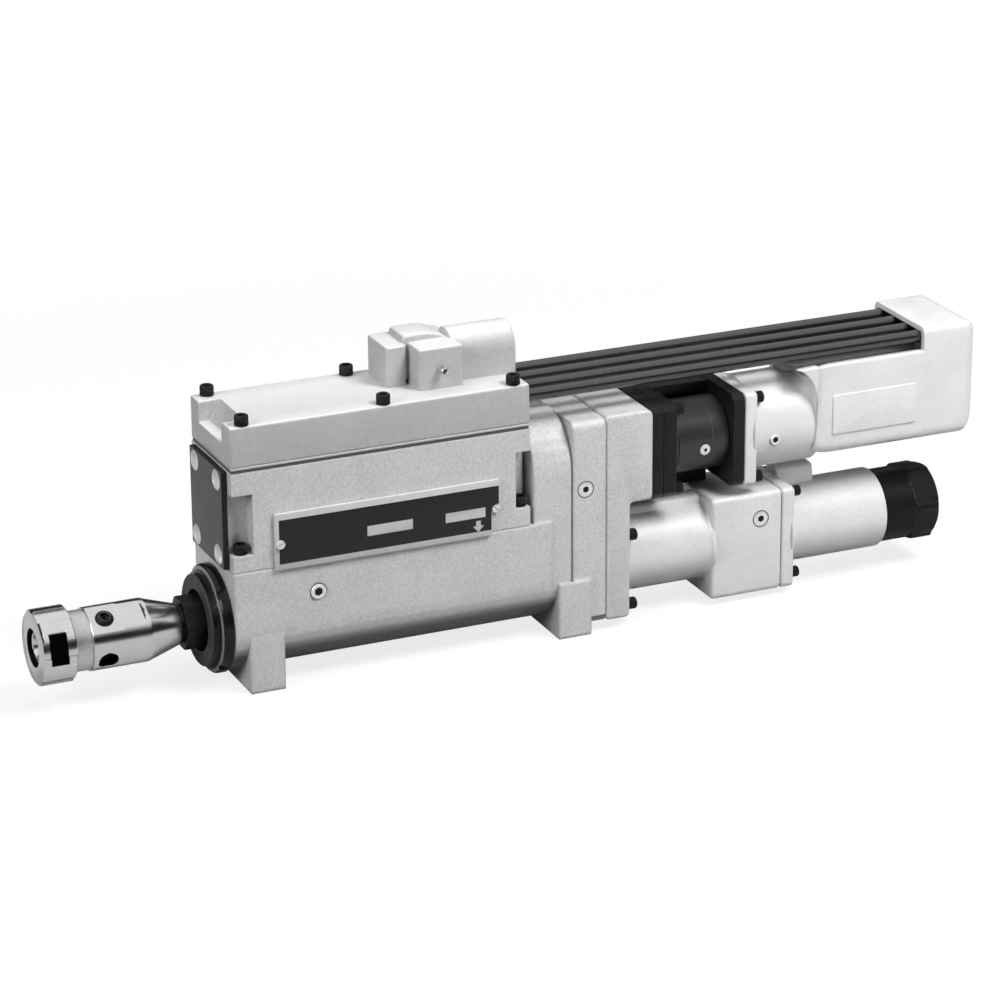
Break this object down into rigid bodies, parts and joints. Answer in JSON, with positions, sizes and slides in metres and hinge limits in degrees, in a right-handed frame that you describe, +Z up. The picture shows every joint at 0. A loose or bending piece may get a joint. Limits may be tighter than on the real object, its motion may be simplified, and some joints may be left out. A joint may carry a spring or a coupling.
{
  "type": "lead screw tapping head",
  "caption": "Self feeding tapping head: collet chuck on a lead screw spindle, gear case, planetary air motor above, valve block with lid and air tubes.",
  "frame": {"origin": "underside of the front foot, at its middle, in the plane of the spindle", "axes": "+X from the chuck to the rear along the spindle, +Y to the far side, +Z up from the feet"},
  "size_m": [0.6382, 0.0744, 0.2089],
  "materials": {
    "casting": "sand cast aluminium, tumbled satin",
    "machined_steel": "turned and ground steel",
    "bright_steel": "polished steel",
    "black_steel": "black oxide",
    "black_tube": "glossy black nylon",
    "bronze": "bearing bronze",
    "gasket_paper": "fibre gasket",
    "cover_enamel": "black enamel plate with a pale border"
  },
  "bodies": {
    "head": {"lower_housing": "casting", "control_block": "casting", "lid_gasket": "gasket_paper", "lid": "casting", "air_fitting": "bright_steel", "lid_screw_1": "black_steel", "lid_screw_2": "black_steel", "lid_screw_3": "black_steel", "lid_screw_4": "black_steel", "lid_screw_5": "black_steel", "lid_screw_6": "black_steel", "block_screw_1": "black_steel", "block_screw_2": "black_steel", "block_screw_3": "black_steel", "block_screw_4": "black_steel", "front_plate": "black_steel", "front_ring": "black_steel", "front_bushing": "bronze", "gear_bearing": "bronze", "gear_cover": "casting", "idler_pin": "machined_steel", "front_gear_plate": "black_steel", "middle_gear_plate": "black_steel", "ring_gear": "black_steel", "rear_gear_plate": "black_steel", "motor_housing": "casting", "motor_liner": "machined_steel", "motor_end_plate": "machined_steel", "air_tube_1": "black_tube", "air_tube_2": "black_tube", "air_tube_3": "black_tube", "air_tube_4": "black_tube", "lead_screw_housing": "casting", "rear_sleeve": "casting", "lead_nut": "bronze", "lead_nut_cap": "black_steel", "side_plug": "bright_steel", "motor_plug": "bright_steel", "cover_pivot_screw": "bright_steel", "cover_latch_screw": "bright_steel", "stroke_rod": "bright_steel"},
    "feed_carriage": {"feed_collar": "machined_steel", "trip_yoke": "machined_steel"},
    "spindle": {"spindle_shaft": "black_steel", "lead_screw": "machined_steel", "chuck_body": "bright_steel", "chuck_set_screw": "bright_steel"},
    "collet": {"tap_collet": "machined_steel"},
    "chuck_nut": {"chuck_nut": "bright_steel"},
    "drive_gear": {"drive_gear": "machined_steel"},
    "idler_gear": {"idler_gear": "machined_steel"},
    "carrier": {"output_pinion": "machined_steel", "planet_carrier": "machined_steel"},
    "planet_1": {"planet_gear_1": "machined_steel"},
    "planet_2": {"planet_gear_2": "machined_steel"},
    "planet_3": {"planet_gear_3": "machined_steel"},
    "rotor": {"rotor": "machined_steel"},
    "stroke_cover": {"stroke_cover": "cover_enamel"},
    "stroke_dog": {"stroke_dog": "machined_steel"},
    "valve_spool": {"valve_spool": "bright_steel"}
  },
  "joints": [
    {"name": "spindle_feed", "type": "slide", "parent": "head", "child": "feed_carriage", "axis": [-1, 0, 0], "range_m": [0, 0.0381]},
    {"name": "spindle_spin", "type": "hinge", "parent": "feed_carriage", "child": "spindle", "pos_m": [0.1175, 0, 0.0405], "axis": [-1, 0, 0], "range_deg": [0, 4320]},
    {"name": "drive_gear_spin", "type": "hinge", "parent": "head", "child": "drive_gear", "pos_m": [0.235, 0, 0.0405], "axis": [-1, 0, 0], "range_deg": [0, 4320]},
    {"name": "idler_gear_spin", "type": "hinge", "parent": "head", "child": "idler_gear", "pos_m": [0.235, 0, 0.078], "axis": [-1, 0, 0], "range_deg": [-7680, 0]},
    {"name": "carrier_spin", "type": "hinge", "parent": "head", "child": "carrier", "pos_m": [0.235, 0, 0.1125], "axis": [-1, 0, 0], "range_deg": [0, 4937.14]},
    {"name": "planet_1_spin", "type": "hinge", "parent": "carrier", "child": "planet_1", "pos_m": [0.2975, 0, 0.12465], "axis": [-1, 0, 0], "range_deg": [-13824, 0]},
    {"name": "planet_2_spin", "type": "hinge", "parent": "carrier", "child": "planet_2", "pos_m": [0.2975, -0.01052, 0.10643], "axis": [-1, 0, 0], "range_deg": [-13824, 0]},
    {"name": "planet_3_spin", "type": "hinge", "parent": "carrier", "child": "planet_3", "pos_m": [0.2975, 0.01052, 0.10643], "axis": [-1, 0, 0], "range_deg": [-13824, 0]},
    {"name": "rotor_spin", "type": "hinge", "parent": "head", "child": "rotor", "pos_m": [0.2975, 0, 0.1125], "axis": [-1, 0, 0], "range_deg": [0, 22217.14]},
    {"name": "collet_slide", "type": "slide", "parent": "spindle", "child": "collet", "axis": [-1, 0, 0], "range_m": [0, 0.0015]},
    {"name": "chuck_nut_turn", "type": "hinge", "parent": "collet", "child": "chuck_nut", "pos_m": [-0.1395, 0, 0.0405], "axis": [-1, 0, 0], "range_deg": [0, 360]},
    {"name": "stroke_cover_lift", "type": "hinge", "parent": "head", "child": "stroke_cover", "pos_m": [0.0091, -0.0364, 0.0973], "axis": [0, -1, 0], "range_deg": [0, 75]},
    {"name": "stroke_dog_slide", "type": "slide", "parent": "head", "child": "stroke_dog", "axis": [-1, 0, 0], "range_m": [0, 0.07]},
    {"name": "valve_spool_slide", "type": "slide", "parent": "head", "child": "valve_spool", "axis": [1, 0, 0], "range_m": [-0.004, 0.004]}
  ],
  "couplings": [
    {"joint": "spindle_spin", "follows": "spindle_feed", "rad_per_m": 1979},
    {"joint": "drive_gear_spin", "follows": "spindle_feed", "rad_per_m": 1979},
    {"joint": "idler_gear_spin", "follows": "spindle_feed", "rad_per_m": -3518.1},
    {"joint": "carrier_spin", "follows": "spindle_feed", "rad_per_m": 2261.7},
    {"joint": "planet_1_spin", "follows": "spindle_feed", "rad_per_m": -6332.7},
    {"joint": "planet_2_spin", "follows": "spindle_feed", "rad_per_m": -6332.7},
    {"joint": "planet_3_spin", "follows": "spindle_feed", "rad_per_m": -6332.7},
    {"joint": "rotor_spin", "follows": "spindle_feed", "rad_per_m": 10177},
    {"joint": "chuck_nut_turn", "follows": "collet_slide", "rad_per_m": 4188.8}
  ]
}
